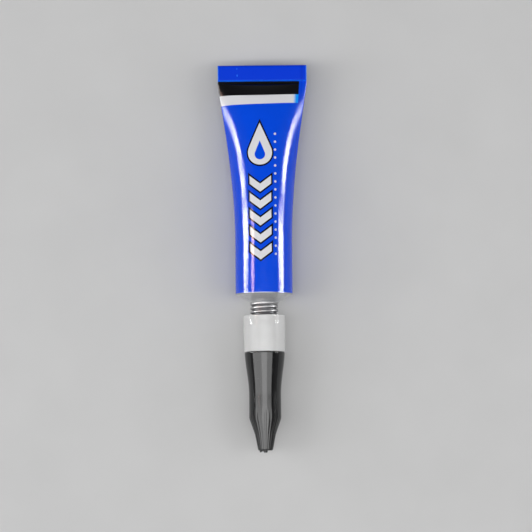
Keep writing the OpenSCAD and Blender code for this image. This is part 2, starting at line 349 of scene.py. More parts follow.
def groove_tree():
    """Node tree that cuts waves into a turned piece: a thread with a pitch, or straight grooves by count."""
    tree = bpy.data.node_groups.new("axis_grooves", "GeometryNodeTree")
    sides = tree.interface
    sides.new_socket("Geometry", in_out="INPUT", socket_type="NodeSocketGeometry")
    for name in (
        "Axis Height", "Start", "Length", "Ease", "Turns",
        "Wave", "Crisp", "Depth", "From Radius", "To Radius",
    ):
        sides.new_socket(name, in_out="INPUT", socket_type="NodeSocketFloat")
    sides.new_socket("Finish", in_out="INPUT", socket_type="NodeSocketMaterial")
    sides.new_socket("Geometry", in_out="OUTPUT", socket_type="NodeSocketGeometry")
    given = tree.nodes.new("NodeGroupInput").outputs

    def fill(node, values):
        for socket, value in zip(node.inputs, values):
            if isinstance(value, bpy.types.NodeSocket):
                tree.links.new(value, socket)
            else:
                socket.default_value = value

    def sums(operation, *values):
        node = tree.nodes.new("ShaderNodeMath")
        node.operation = operation
        fill(node, values)
        return node.outputs[0]

    def eased(value, low, high):
        node = tree.nodes.new("ShaderNodeMapRange")
        node.interpolation_type = "SMOOTHSTEP"
        fill(node, (value, low, high, 0.0, 1.0))
        return node.outputs[0]

    place = tree.nodes.new("ShaderNodeSeparateXYZ")
    tree.links.new(tree.nodes.new("GeometryNodeInputPosition").outputs[0], place.inputs[0])
    across, lengthwise, height = place.outputs
    up = sums("SUBTRACT", height, given["Axis Height"])
    radius = sums("SQRT", sums("ADD", sums("MULTIPLY", across, across), sums("MULTIPLY", up, up)))
    along = sums("SUBTRACT", given["Start"], lengthwise)
    left = sums("SUBTRACT", given["Length"], along)
    turn = sums("MULTIPLY", sums("ARCTAN2", across, up), given["Turns"])
    phase = sums("ADD", turn, sums("MULTIPLY", along, given["Wave"]))
    swing = sums("MULTIPLY_ADD", sums("COSINE", phase), -0.5, 0.5)
    wave = eased(swing, given["Crisp"], sums("SUBTRACT", 1.0, given["Crisp"]))
    ends = sums("MULTIPLY", eased(along, 0.0, given["Ease"]), eased(left, 0.0, given["Ease"]))
    reached = sums("GREATER_THAN", radius, given["From Radius"])
    kept = sums("LESS_THAN", radius, given["To Radius"])
    cut = sums("MULTIPLY", sums("MULTIPLY", wave, ends), sums("MULTIPLY", reached, kept))
    depth = sums("DIVIDE", sums("MULTIPLY", cut, given["Depth"]), sums("MAXIMUM", radius, MM))
    inwards = sums("MULTIPLY", depth, -1.0)

    step = tree.nodes.new("ShaderNodeCombineXYZ")
    fill(step, (sums("MULTIPLY", across, inwards), 0.0, sums("MULTIPLY", up, inwards)))
    move = tree.nodes.new("GeometryNodeSetPosition")
    tree.links.new(given["Geometry"], move.inputs["Geometry"])
    tree.links.new(step.outputs[0], move.inputs["Offset"])
    real = tree.nodes.new("GeometryNodeRealizeInstances")
    tree.links.new(move.outputs["Geometry"], real.inputs["Geometry"])
    dress = tree.nodes.new("GeometryNodeSetMaterial")
    tree.links.new(real.outputs["Geometry"], dress.inputs["Geometry"])
    tree.links.new(given["Finish"], dress.inputs["Material"])
    out = tree.nodes.new("NodeGroupOutput")
    tree.links.new(dress.outputs["Geometry"], out.inputs["Geometry"])
    return tree


def cut_grooves(piece, tree, finish, sharp_angle, **sizes):
    """Runs the groove tree on a piece and keeps the result as its plain mesh."""
    modifier = piece.modifiers.new("grooves", "NODES")
    modifier.node_group = tree
    values = {name.replace("_", " ").title(): value for name, value in sizes.items()}
    values["Axis Height"] = AXIS_Z
    values["Finish"] = finish
    for item in tree.interface.items_tree:
        if item.in_out == "INPUT" and item.name in values:
            modifier[item.identifier] = values[item.name]
    piece.data.update()
    bpy.context.view_layer.update()
    drawn = piece.evaluated_get(bpy.context.evaluated_depsgraph_get())
    mesh = bpy.data.meshes.new_from_object(drawn)
    piece.modifiers.remove(modifier)
    piece.data = mesh
    smooth_shade(mesh, sharp_angle)


# Finishes

class Finish:
    """One procedural material: a Principled shader and the nodes that feed it."""

    def __init__(self, name, constants):
        self.material = bpy.data.materials.new(name)
        self.material.use_nodes = True
        self.tree = self.material.node_tree
        self.shader = self.tree.nodes["Principled BSDF"]
        for socket, value in constants.items():
            self.feed(self.shader.inputs[socket], value)
        self.place = self.node("ShaderNodeTexCoord").outputs["Object"]

    def feed(self, socket, value):
        if isinstance(value, bpy.types.NodeSocket):
            self.tree.links.new(value, socket)
        elif socket.type == "RGBA" and len(value) == 3:
            socket.default_value = (*value, 1.0)
        else:
            socket.default_value = value

    def node(self, kind, inputs=None, **settings):
        made = self.tree.nodes.new(kind)
        for name, value in settings.items():
            setattr(made, name, value)
        for name, value in (inputs or {}).items():
            self.feed(made.inputs[name], value)
        return made

    def sums(self, operation, *values):
        made = self.node("ShaderNodeMath", operation=operation)
        for socket, value in zip(made.inputs, values):
            self.feed(socket, value)
        return made.outputs[0]

    def ramp(self, value, low, high, to_low=0.0, to_high=1.0, kind="LINEAR"):
        """The value carried from one span to another, held at its ends."""
        made = self.node("ShaderNodeMapRange", interpolation_type=kind)
        for socket, given in zip(made.inputs, (value, low, high, to_low, to_high)):
            self.feed(socket, given)
        return made.outputs[0]

    def blend(self, factor, first, second):
        made = self.node("ShaderNodeMix", data_type="RGBA")
        self.feed(made.inputs[0], factor)
        self.feed(made.inputs[6], first)
        self.feed(made.inputs[7], second)
        return made.outputs[2]

    def noise(self, size, detail=3.0, rough=0.55, stretch=(1, 1, 1), place=None):
        """Noise with features of about a size in metres, drawn out along an axis by stretch."""
        spot = self.node("ShaderNodeMapping", {"Vector": place or self.place, "Scale": stretch}).outputs[0]
        made = self.node(
            "ShaderNodeTexNoise",
            {"Vector": spot, "Scale": 1 / size, "Detail": detail, "Roughness": rough},
        )
        return made.outputs["Fac"]

    def length(self, a, b):
        """Length of a step with two sides at right angles."""
        squares = self.sums("ADD", self.sums("MULTIPLY", a, a), self.sums("MULTIPLY", b, b))
        return self.sums("SQRT", squares)

    def axis_radius(self):
        """Distance from the tube's axis."""
        parts = self.node("ShaderNodeSeparateXYZ", {"Vector": self.place}).outputs
        up = self.sums("SUBTRACT", parts[2], AXIS_Z)
        return self.length(parts[0], up)

    def along(self):
        """Place along the tube, from the shoulder towards the cap."""
        parts = self.node("ShaderNodeSeparateXYZ", {"Vector": self.place}).outputs
        return self.sums("SUBTRACT", SHOULDER_Y, parts[1])

    def bump(self, height, distance):
        made = self.node("ShaderNodeBump", {"Height": height, "Distance": distance, "Strength": 1.0})
        self.feed(self.shader.inputs["Normal"], made.outputs[0])

    def use(self, **sockets):
        for name, value in sockets.items():
            self.feed(self.shader.inputs[name.replace("_", " ").title()], value)
        return self.material


class Print:
    """Shapes printed on the tube wall, as masks on its own map in millimetres."""

    def __init__(self, finish):
        self.f = finish
        spot = finish.node("ShaderNodeUVMap", uv_map="print_map").outputs[0]
        parts = finish.node("ShaderNodeSeparateXYZ", {"Vector": spot}).outputs
        self.u = finish.sums("MULTIPLY_ADD", parts[0], MAP_SPAN, -MAP_SPAN / 2)
        self.v = finish.sums("MULTIPLY", parts[1], MAP_SPAN)

    def inside(self, distance, edge=0.0, soft=0.05):
        """1 where a distance is below an edge, with a thin soft border."""
        return self.f.ramp(distance, edge - soft / 2, edge + soft / 2, 1.0, 0.0)

    def both(self, *masks):
        joined = masks[0]
        for mask in masks[1:]:
            joined = self.f.sums("MULTIPLY", joined, mask)
        return joined

    def beyond(self, value, edge, soft=0.05):
        """1 where a value is above an edge."""
        return self.f.ramp(value, edge - soft / 2, edge + soft / 2)

    def between(self, value, low, high):
        return self.both(self.inside(value, high), self.beyond(value, low))

    def drop(self, u, v, radius, reach):
        """Distance to a drop with its round end at the nozzle side and its tip towards the tail."""
        sums = self.f.sums
        aside = sums("ABSOLUTE", sums("SUBTRACT", self.u, u))
        up = sums("SUBTRACT", self.v, v)
        ball = sums("SUBTRACT", self.f.length(aside, up), radius)
        lean = radius / reach
        upright = math.sqrt(1 - lean * lean)
        below = sums("MULTIPLY", sums("SUBTRACT", up, reach), lean)
        flank = sums("ADD", sums("MULTIPLY", aside, upright), below)
        taper = sums("MAXIMUM", flank, sums("SUBTRACT", radius * lean, up))
        return sums("MINIMUM", ball, taper)

    def from_nearest(self, rise, count, pitch):
        """How far a rise is from the nearest sign of a row."""
        sums = self.f.sums
        nearest = sums("FLOOR", sums("MULTIPLY_ADD", rise, 1 / pitch, 0.5))
        which = sums("MINIMUM", sums("MAXIMUM", nearest, 0.0), count - 1.0)
        return sums("SUBTRACT", rise, sums("MULTIPLY", which, pitch))

    def chevrons(self, u, v, count, pitch, thick, half_width, slope):
        """Distance to a row of chevrons that point to the nozzle."""
        sums = self.f.sums
        aside = sums("ABSOLUTE", sums("SUBTRACT", self.u, u))
        rise = sums("SUBTRACT", sums("SUBTRACT", self.v, v), sums("MULTIPLY", aside, slope))
        off = sums("ABSOLUTE", self.from_nearest(rise, count, pitch))
        arm = sums("MULTIPLY", sums("SUBTRACT", off, thick / 2), 1 / math.hypot(1, slope))
        return sums("MAXIMUM", arm, sums("SUBTRACT", aside, half_width))

    def dots(self, u, v, count, pitch, radius):
        """Distance to a row of round dots."""
        sums = self.f.sums
        aside = sums("SUBTRACT", self.u, u)
        rise = sums("SUBTRACT", self.v, v)
        off = self.from_nearest(rise, count, pitch)
        return sums("SUBTRACT", self.f.length(aside, off), radius)


def clouded_blue(f, blue):
    """Blue ground that isn't laid quite evenly."""
    return f.blend(f.ramp(f.noise(4 * MM, detail=2.0), 0.3, 0.7, 0.0, 0.06), blue, DEEP_BLUE)


def lacquer_surface(f, colour):
    """Gloss, orange peel and faint scuffs that the printed wall and the rolled tail share."""
    scuff = f.ramp(f.noise(1.6 * MM, detail=6.0, rough=0.7, stretch=(1, 0.22, 1)), 0.66, 0.74)
    worn = f.blend(f.sums("MULTIPLY", scuff, 0.05), colour, SCUFF_BLUE)
    rough = f.ramp(f.noise(2.2 * MM, detail=4.0), 0.3, 0.7, 0.08, 0.13)
    swell = f.sums("MULTIPLY", f.noise(0.9 * MM, detail=2.0), 0.7)
    peel = f.sums("MULTIPLY", f.noise(0.12 * MM, detail=2.0), 0.12)
    f.bump(f.sums("ADD", swell, peel), 0.02 * MM)
    return worn, f.sums("ADD", rough, f.sums("MULTIPLY", scuff, 0.12))


def printed_lacquer():
    """Glossy blue lacquer with its bands near the tail and a plain drop, chevrons and dots in white."""
    f = Finish("printed_lacquer", GLOSS_LACQUER)
    p = Print(f)
    printed = f.sums("SUBTRACT", 1.0, p.between(p.u, GAP_FROM, GAP_TO))
    black = p.both(p.beyond(f.sums("MULTIPLY_ADD", p.u, -BLACK_TILT, p.v), BLACK_FROM), printed)
    pale = p.both(p.beyond(f.sums("MULTIPLY_ADD", p.u, -PALE_TILT, p.v), PALE_FROM), printed)
    cyan = f.ramp(p.u, GAP_FROM - CYAN_WIDTH, GAP_FROM - 0.3 * CYAN_WIDTH, kind="SMOOTHSTEP")

    signs = f.sums("MINIMUM", p.drop(**DROP), p.chevrons(**CHEVRONS))
    outline = p.inside(signs, SIGN_OUTLINE)
    white = p.inside(signs)
    heart = p.inside(p.drop(**HEART))
    small = p.inside(p.dots(**DOTS))

    ground = clouded_blue(f, BLUE)
    colour = f.blend(pale, ground, f.blend(cyan, INK_WHITE, INK_CYAN))
    colour = f.blend(black, colour, INK_BLACK)
    colour = f.blend(outline, colour, INK_BLACK)
    colour = f.blend(white, colour, INK_WHITE)
    colour = f.blend(heart, colour, ground)
    colour = f.blend(small, colour, INK_WHITE)
    off_seam = f.sums("ABSOLUTE", f.sums("SUBTRACT", p.u, SEAM_AT))
    seam = f.ramp(off_seam, 0.0, SEAM_WIDTH, SEAM_SHARE, 0.0)
    worn, rough = lacquer_surface(f, f.blend(seam, colour, SEAM_BLUE))
    # Bare metal rim at the shoulder edge; its dark grey is painted shade that dims its highlight
    ragged = f.sums("ADD", p.v, f.sums("MULTIPLY", f.noise(1.2 * MM), 0.06))
    bare = p.inside(ragged, RIM_LINE, soft=0.06)

    aside = f.sums("ABSOLUTE", p.u)
    past = f.sums("SUBTRACT", aside, f.sums("MULTIPLY", p.v, STRAIN_LEAN))
    strained = p.both(
        f.ramp(past, *STRAIN_PAST, kind="SMOOTHSTEP"),
        f.ramp(aside, *STRAIN_ROUND, 1.0, 0.0, kind="SMOOTHSTEP"),
        f.ramp(p.v, *STRAIN_ALONG, kind="SMOOTHSTEP"),
    )
    rough = f.sums("ADD", rough, f.sums("MULTIPLY", strained, STRAIN_SATIN))
    return f.use(
        base_color=f.blend(bare, worn, RIM_SHADE_GREY),
        metallic=bare,
        roughness=f.sums("ADD", rough, f.sums("MULTIPLY", bare, 0.25)),
    )


def plain_lacquer():
    """The same blue lacquer on the rolled tail, in a deeper blue as painted shade, with a painted highlight
    along its lip, rubbed at its ends and nicked twice.
    """
    f = Finish("plain_lacquer", SATIN_LACQUER)
    across, lengthwise, _ = f.node("ShaderNodeSeparateXYZ", {"Vector": f.place}).outputs
    grain = f.sums("MULTIPLY", f.sums("SUBTRACT", f.noise(0.7 * MM), 0.5), LIP_GRAIN)
    rise = f.sums("SUBTRACT", lengthwise, fold_low.y)
    from_lip = f.sums("ADD", rise, grain)
    # Mask of the painted highlight along the lip
    lip = f.ramp(from_lip, *LIP_HIGHLIGHT_FADE, 1.0, 0.0)
    bend = f.ramp(from_lip, *BEND_FADE, 1.0, 0.0)
    end = f.sums("SUBTRACT", FOLD_W / 2, f.sums("ABSOLUTE", across))
    rubbed = f.ramp(f.sums("ADD", end, grain), *END_FADE, 0.8, 0.0)
    for x, y, wide, tall in NICKS:
        off = f.sums("MULTIPLY", f.sums("SUBTRACT", across, x * MM), 1 / (wide * MM))
        up = f.sums("MULTIPLY", f.sums("SUBTRACT", rise, y * MM), 1 / (tall * MM))
        far = f.sums("ADD", f.sums("MULTIPLY", off, off), f.sums("MULTIPLY", up, up))
        rubbed = f.sums("MAXIMUM", rubbed, f.ramp(far, 0.3, 1.0, 0.7, 0.0))
    off_seam = f.sums("ABSOLUTE", f.sums("SUBTRACT", across, SEAM_AT * MM))
    seam = f.ramp(off_seam, 0.0, SEAM_WIDTH * MM, SEAM_SHARE, 0.0)
    # Deeper blue as painted shade, with a painted highlight along the lip
    ground = f.blend(lip, clouded_blue(f, FOLD_SHADED_BLUE), LIP_HIGHLIGHT_BLUE)
    worn, rough = lacquer_surface(f, f.blend(seam, ground, SEAM_BLUE))
    rough = f.sums("ADD", rough, f.ramp(bend, 0.0, 1.0, 0.26, 0.36))
    return f.use(
        base_color=f.blend(rubbed, worn, RUBBED_BLUE),
        roughness=f.sums("ADD", rough, f.sums("MULTIPLY", rubbed, 0.15)),
    )


def drawn_aluminium():
    """Bare aluminium with fine turning lines; the neck is darkened as painted shade, and its thread grooves
    darker still as painted shade.
    """
    f = Finish("drawn_aluminium", {"Metallic": 1.0})
    radius = f.axis_radius()
    along = f.along()
    lines = f.node("ShaderNodeCombineXYZ", {"X": radius, "Y": along}).outputs[0]
    turning = f.noise(0.05 * MM, detail=4.0, rough=0.7, place=lines)
    cloud = f.noise(1.4 * MM, detail=4.0)
    on_neck = f.ramp(along, SHOULDER_H, SHOULDER_H + NECK_ROOT_R)
    # Thread grooves, darkened as painted shade
    sunk = f.ramp(radius, NECK_R - THREAD_DEPTH, NECK_R - 0.4 * THREAD_DEPTH, 1.0, 0.0)
    groove_shade = f.sums("MULTIPLY", f.sums("MULTIPLY", on_neck, sunk), 0.85)
    tone = f.blend(f.ramp(cloud, 0.3, 0.7), ALUMINIUM, ALUMINIUM_DULL)
    # The shoulder's rounded edge darkened as painted shade
    edge = f.ramp(along, 0.05 * MM, 0.35 * MM, 0.8, 0.0)
    tone = f.blend(edge, tone, RIM_SHADE_GREY)
    # The neck's aluminium darkened as painted shade
    tone = f.blend(on_neck, tone, NECK_SHADE_GREY)
    f.bump(f.sums("ADD", turning, f.sums("MULTIPLY", cloud, 0.6)), 0.012 * MM)
    return f.use(
        base_color=f.blend(groove_shade, tone, THREAD_GROOVE_SHADE),
        roughness=f.sums("MULTIPLY_ADD", on_neck, 0.12, f.ramp(turning, 0.3, 0.7, 0.25, 0.38)),
    )


def natural_polythene():
    """Milky white polythene that lets some light in, with faint flow lines and moulding grain."""
    f = Finish("natural_polythene", {
        "Subsurface Weight": 0.55,
        "Subsurface Radius": (1.0, 0.95, 0.9),
        "Subsurface Scale": 1.2 * MM,
        "Specular IOR Level": 0.28,
    })
    flow = f.noise(1.1 * MM, detail=3.0, stretch=(1, 0.18, 1))
    cloud = f.noise(3.0 * MM, detail=2.0)
    tone = f.blend(f.ramp(cloud, 0.3, 0.7, 0.0, 0.5), NATURAL_WHITE, NATURAL_DULL)
    tone = f.blend(f.ramp(flow, 0.55, 0.75, 0.0, 0.25), tone, NATURAL_FLOW)
    f.bump(f.sums("ADD", f.noise(0.16 * MM, detail=3.0), f.sums("MULTIPLY", flow, 1.5)), 0.005 * MM)
    return f.use(base_color=tone, roughness=f.ramp(flow, 0.3, 0.7, 0.06, 0.11))


def black_polythene():
    """Black moulded plastic, satin, with scratches along its length and a little dust."""
    f = Finish("black_polythene", {"Specular IOR Level": 0.56, "IOR": 1.5})
    scratch = f.ramp(f.noise(0.35 * MM, detail=5.0, rough=0.75, stretch=(1, 0.06, 1)), 0.60, 0.72)
    dust = f.ramp(f.noise(0.24 * MM, detail=2.0, rough=0.4), 0.70, 0.76)
    cloud = f.noise(2.4 * MM, detail=3.0)
    tone = f.blend(f.sums("MULTIPLY", scratch, 0.08), CAP_BLACK, CAP_SCRATCH)
    tone = f.blend(f.sums("MULTIPLY", dust, 0.4), tone, CAP_DUST)
    rough = f.sums("ADD", f.ramp(cloud, 0.3, 0.7, 0.06, 0.10), f.sums("MULTIPLY", scratch, 0.06))
    f.bump(f.sums("SUBTRACT", f.noise(0.14 * MM, detail=3.0), f.sums("MULTIPLY", scratch, 1.6)), 0.004 * MM)
    return f.use(base_color=tone, roughness=rough)


def cured_latex():
    """Cream latex bead, matt and slightly lumpy."""
    f = Finish("cured_latex", {"Subsurface Weight": 0.2, "Subsurface Scale": 0.5 * MM})
    lumps = f.noise(0.5 * MM, detail=4.0)
    f.bump(lumps, 0.05 * MM)
    return f.use(
        base_color=f.blend(f.ramp(lumps, 0.3, 0.7), LATEX, LATEX_DARK),
        roughness=f.ramp(lumps, 0.3, 0.7, 0.55, 0.75),
    )


def clear_glue():
    """Clear liquid with a faint cloud in it."""
    f = Finish("clear_glue", {"Transmission Weight": 0.85, "IOR": 1.45})
    cloud = f.noise(3.0 * MM, detail=2.0)
    return f.use(
        base_color=f.blend(f.ramp(cloud, 0.35, 0.65, 0.0, 0.4), GLUE_CLEAR, GLUE_CLOUD),
        roughness=f.ramp(cloud, 0.3, 0.7, 0.02, 0.06),
    )


# Pieces

def flare_share(from_shoulder):
    """0 on the round stretch, 1 where the wall is pressed flat."""
    return min(1.0, max(0.0, (from_shoulder - ROUND_LEN) / (WALL_LEN - ROUND_LEN - LAND_LEN)))


def wall_point(share, turn, inset):
    """Point of a wall section; turn is 0 at the crown, 1 and -1 at the sides, 2 and -2 at the belly."""
    bend_half = max(TAIL_ANGLE, math.pi / 2 * (1 - share**FLARE_POWER) ** FLARE_EASE)
    small = CREASE_R + (SHEET_HALF - CREASE_R) * share
    big = (math.pi * TUBE_R - (math.pi - 2 * bend_half) * small) / (2 * bend_half)
    quarter = abs(turn) if abs(turn) <= 1 else 2 - abs(turn)
    run = quarter * TUBE_R * math.pi / 2
    if run < big * bend_half:
        bend, r = run / big, big - inset
        centre = (0.0, -(big - small) * math.cos(bend_half))
    else:
        bend = min(math.pi / 2, bend_half + (run - big * bend_half) / small)
        r = small - inset
        centre = ((big - small) * math.sin(bend_half), 0.0)
    across = centre[0] + r * math.sin(bend)
    up = centre[1] + r * math.cos(bend)
    return math.copysign(across, turn), up if abs(turn) <= 1 else -up


def dent_depth(turn, from_shoulder):
    """How far the wall is pushed in at a place."""
    round_mm = turn * TUBE_R * math.pi / 2 / MM
    along_mm = from_shoulder / MM
    return MM * sum(
        depth * math.exp(-((round_mm - u) / wide) ** 2 - ((along_mm - v) / tall) ** 2)
        for u, v, wide, tall, depth in DENTS
    )


def wall_ring(from_shoulder, inset):
    share = flare_share(from_shoulder)
    ring = []
    for i in range(WALL_COLUMNS):
        turn = -2 + 4 * i / WALL_COLUMNS
        x, up = wall_point(share, turn, inset + dent_depth(turn, from_shoulder))
        ring.append((x, SHOULDER_Y + from_shoulder, AXIS_Z + up))
    return ring


def wall_stations(last_share):
    """Distances from the shoulder at which rings are set, closer together towards the tail."""
    level = [ROUND_LEN * i / ROUND_ROWS for i in range(ROUND_ROWS)]
    flare = (WALL_LEN - ROUND_LEN - LAND_LEN) * last_share
    return level + [ROUND_LEN + flare * (1 - (1 - i / FLARE_ROWS) ** 2) for i in range(FLARE_ROWS + 1)]


def print_rise(rings):
    """Places along the print by ring and column: the wall's length, stretched a little where it bends."""
    spots = np.array(rings)
    steps = np.linalg.norm(np.diff(spots, axis=0), axis=2)
    lengths = np.vstack([np.zeros(WALL_COLUMNS), np.cumsum(steps, axis=0)])
    straight = spots[:, :, 1] - SHOULDER_Y
    return straight + MAP_STRETCH_SHARE * (lengths - straight)


def make_tube_wall(finish):
    """Lacquered wall, inside and outside, with the map that its print follows."""
    outer = [wall_ring(s, 0.0) for s in wall_stations(1.0) + [WALL_LEN]]
    inner = [wall_ring(s, WALL_T) for s in wall_stations(MEET_SHARE)]
    rows = outer[::-1] + inner
    rise = np.vstack([print_rise(outer)[::-1], print_rise(inner)])
    points = [p for ring in rows for p in ring]
    last = (len(rows) - 1) * WALL_COLUMNS
    faces = ring_faces(len(rows), WALL_COLUMNS, False)
    sides = len(faces)
    faces.append(tuple(reversed(range(WALL_COLUMNS))))
    faces.append(tuple(last + i for i in range(WALL_COLUMNS)))
    mesh = bpy.data.meshes.new("tube_wall")
    mesh.from_pydata(points, [], faces)
    spots = mesh.uv_layers.new(name="print_map").data
    for polygon in mesh.polygons:
        for loop in polygon.loop_indices:
            row, column = divmod(mesh.loops[loop].vertex_index, WALL_COLUMNS)
            v = rise[row, column] / MM
            closing = polygon.index < sides and polygon.index % WALL_COLUMNS == WALL_COLUMNS - 1
            if closing and column == 0:
                column = WALL_COLUMNS
            u = (-2 + 4 * column / WALL_COLUMNS) * TUBE_R * math.pi / 2 / MM
            spots[loop].uv = (u / MAP_SPAN + 0.5, v / MAP_SPAN)
    tidy = bmesh.new()
    tidy.from_mesh(mesh)
    bmesh.ops.recalc_face_normals(tidy, faces=tidy.faces)
    tidy.to_mesh(mesh)
    tidy.free()
    smooth_shade(mesh, SHEET_SHARP)
    mesh.materials.append(finish)
    piece = bpy.data.objects.new("tube_wall", mesh)
    bpy.context.scene.collection.objects.link(piece)
    return piece


def fold_line():
    """Middle of the rolled sheet and its direction, as (place along Y, height, angle)."""
    pitch = 2 * SHEET_HALF + FOLD_GAP
    top = FOLD_H - pitch - SHEET_HALF
    low = pitch / 2 + SHEET_HALF
    steps = FOLD_STEPS
    run = [(top * i / steps, 0.0, 0.0) for i in range(steps)]
    for i in range(steps + 1):
        a = -math.pi / 2 + math.pi * i / steps
        run.append((top + pitch * math.cos(a), pitch + pitch * math.sin(a), a + math.pi / 2))
    run += [(top + (low - top) * i / steps, 2 * pitch, math.pi) for i in range(1, steps)]
    for i in range(steps + 1):
        a = math.pi / 2 + math.pi * i / steps
        run.append((low + pitch / 2 * math.cos(a), 1.5 * pitch + pitch / 2 * math.sin(a), a + math.pi / 2))
    run += [(low + (top - low) * i / steps, pitch, 2 * math.pi) for i in range(1, steps + 1)]
    return run


def make_rolled_tail(finish):
    """Flat tail rolled over twice to the front, with a lip that isn't quite straight."""
    line = fold_line()
    left = [(y - SHEET_HALF * math.sin(a), z + SHEET_HALF * math.cos(a)) for y, z, a in line]
    right = [(y + SHEET_HALF * math.sin(a), z - SHEET_HALF * math.cos(a)) for y, z, a in line]
    outline = left + right[::-1]
    rise = max(z for y, z in outline)
    points = []
    for i in range(FOLD_COLUMNS + 1):
        x = FOLD_W * (i / FOLD_COLUMNS - 0.5)
        swing = sum(share * math.sin(x / run + phase) for run, share, phase in FOLD_WAVES)
        wave = FOLD_WAVE * swing - FOLD_WAVE_TOP
        for y, z in outline:
            front = wave * max(0.0, z / rise)
            points.append((x, fold_low.y + y - front * (1 - y / FOLD_H), AXIS_Z + z + 0.5 * front))
    columns = len(outline)
    faces = ring_faces(FOLD_COLUMNS + 1, columns, False)
    faces.append(tuple(range(columns)))
    faces.append(tuple(FOLD_COLUMNS * columns + i for i in reversed(range(columns))))
    piece = make_piece("rolled_tail", points, faces, SHEET_SHARP)
    piece.data.materials.append(finish)
    return piece


def make_threaded_neck(finish, tree):
    """Shoulder cone and neck of bare aluminium, with its thread cut as a helix."""
    outline = soft_corners([
        (0.0, TUBE_R - SHOULDER_T, 0.0),
        (0.0, TUBE_R, 0.0),
        (SHOULDER_EDGE_R * 0.25, TUBE_R - 0.01 * MM, SHOULDER_EDGE_R * 0.2),
        (SHOULDER_EDGE_R, TUBE_R - SHOULDER_EDGE_R, SHOULDER_EDGE_R * 0.4),
        (SHOULDER_H, NECK_R + NECK_ROOT_R * 0.6, NECK_ROOT_R),
        (SHOULDER_H + NECK_ROOT_R, NECK_R, NECK_ROOT_R * 0.5),
        (NECK_END, NECK_R, NECK_BEVEL),
        (NECK_END, NECK_BORE_R, 0.1 * MM),
        (SHOULDER_H - SHOULDER_T, NECK_BORE_R, 0.1 * MM),
    ])
    piece = turned("threaded_neck", finer(outline, NECK_ROW), 0.0, NECK_COLUMNS, NECK_SHARP)
    thread_from = SHOULDER_H + NECK_ROOT_R
    cut_grooves(
        piece, tree, finish, NECK_SHARP,
        start=SHOULDER_Y - thread_from, length=NECK_END - thread_from, ease=THREAD_RUNOUT,
        turns=1.0, wave=2 * math.pi / THREAD_PITCH, crisp=0.08, depth=THREAD_DEPTH,
        from_radius=(NECK_R + NECK_BORE_R) / 2, to_radius=TUBE_R,
    )
    return piece


def make_nozzle(finish, tree):
    """White nozzle: collar, plug, cone and the hollow spike inside the collar."""
    plug_end = COLLAR_LEN + PLUG_LEN
    outline = soft_corners([
        (0.0, COLLAR_BORE_R, 0.15 * MM),
        (0.0, COLLAR_R - COLLAR_RIM_SET, COLLAR_EDGE_R),
        (COLLAR_DIP[0], COLLAR_R - COLLAR_DIP[1], COLLAR_RING_BEND),
        (COLLAR_RING[0], COLLAR_R - COLLAR_RING[1], COLLAR_RING_BEND),
        (COLLAR_LEN, COLLAR_END_R, 0.3 * MM),
        (COLLAR_LEN, PLUG_R, 0.08 * MM),
        (COLLAR_LEN + 0.55 * PLUG_LEN, PLUG_R, 0.3 * MM),
        (COLLAR_LEN + 0.72 * PLUG_LEN, PLUG_R + PLUG_BEAD, 0.3 * MM),
        (plug_end, PLUG_R - 0.2 * MM, 0.35 * MM),
        (plug_end, CONE_R, 0.25 * MM),
        (NOZZLE_LEN, TIP_R, 0.12 * MM),
        (NOZZLE_LEN, ORIFICE_R, 0.06 * MM),
        (NOZZLE_LEN - ORIFICE_LEN, ORIFICE_R, 0.0),
        (COLLAR_BORE_LEN, CHANNEL_R, 0.0),
        (SPIKE_AT, CHANNEL_R, 0.05 * MM),
        (SPIKE_AT, SPIKE_TIP_R, 0.05 * MM),
        (COLLAR_BORE_LEN, SPIKE_R, 0.2 * MM),
        (COLLAR_BORE_LEN, COLLAR_BORE_R, 0.2 * MM),
    ])
    piece = turned("dropper_nozzle", finer(outline, NOZZLE_ROW), COLLAR_AT, NOZZLE_COLUMNS, NOZZLE_SHARP)
    spike_y = SHOULDER_Y - COLLAR_AT - SPIKE_AT
    for vertex in piece.data.vertices:
        across = math.hypot(vertex.co.x, vertex.co.z - AXIS_Z)
        if across < SPIKE_R and vertex.co.y > spike_y - SPIKE_RUN:
            slanted = spike_y - (SPIKE_TIP_R + vertex.co.z - AXIS_Z) * math.tan(SPIKE_SLANT)
            vertex.co.y = min(vertex.co.y, slanted)
    cut_grooves(
        piece, tree, finish, NOZZLE_SHARP,
        start=nozzle_high.y - BORE_THREAD_AT, length=BORE_THREAD_LEN, ease=THREAD_RUNOUT,
        turns=1.0, wave=2 * math.pi / THREAD_PITCH, crisp=0.1, depth=-BORE_THREAD_DEPTH,
        from_radius=COLLAR_BORE_R - BORE_REACH, to_radius=COLLAR_BORE_R + BORE_REACH,
    )
    return piece


def cap_outline():
    """Outside of the cap from its mouth: flared skirt, straight waist, rounded nose and blunt end."""
    skirt = []
    for i in range(SKIRT_STEPS + 1):
        share = i / SKIRT_STEPS
        level = (1 + math.cos(SKIRT_PHASE + (math.pi - SKIRT_PHASE) * share)) / (1 + math.cos(SKIRT_PHASE))
        skirt.append((SKIRT_LEN * share, WAIST_R + (CAP_MOUTH_R - WAIST_R) * level))
    centre = (WAIST_END, WAIST_R - NOSE_ROUND_R)
    run, rise = NOSE_AT - centre[0], NOSE_R - centre[1]
    lean = math.atan2(run, rise) - math.acos(NOSE_ROUND_R / math.hypot(run, rise))
    nose = []
    for i in range(NOSE_STEPS + 1):
        turn = lean * i / NOSE_STEPS
        nose.append((centre[0] + NOSE_ROUND_R * math.sin(turn), centre[1] + NOSE_ROUND_R * math.cos(turn)))
    return skirt, nose


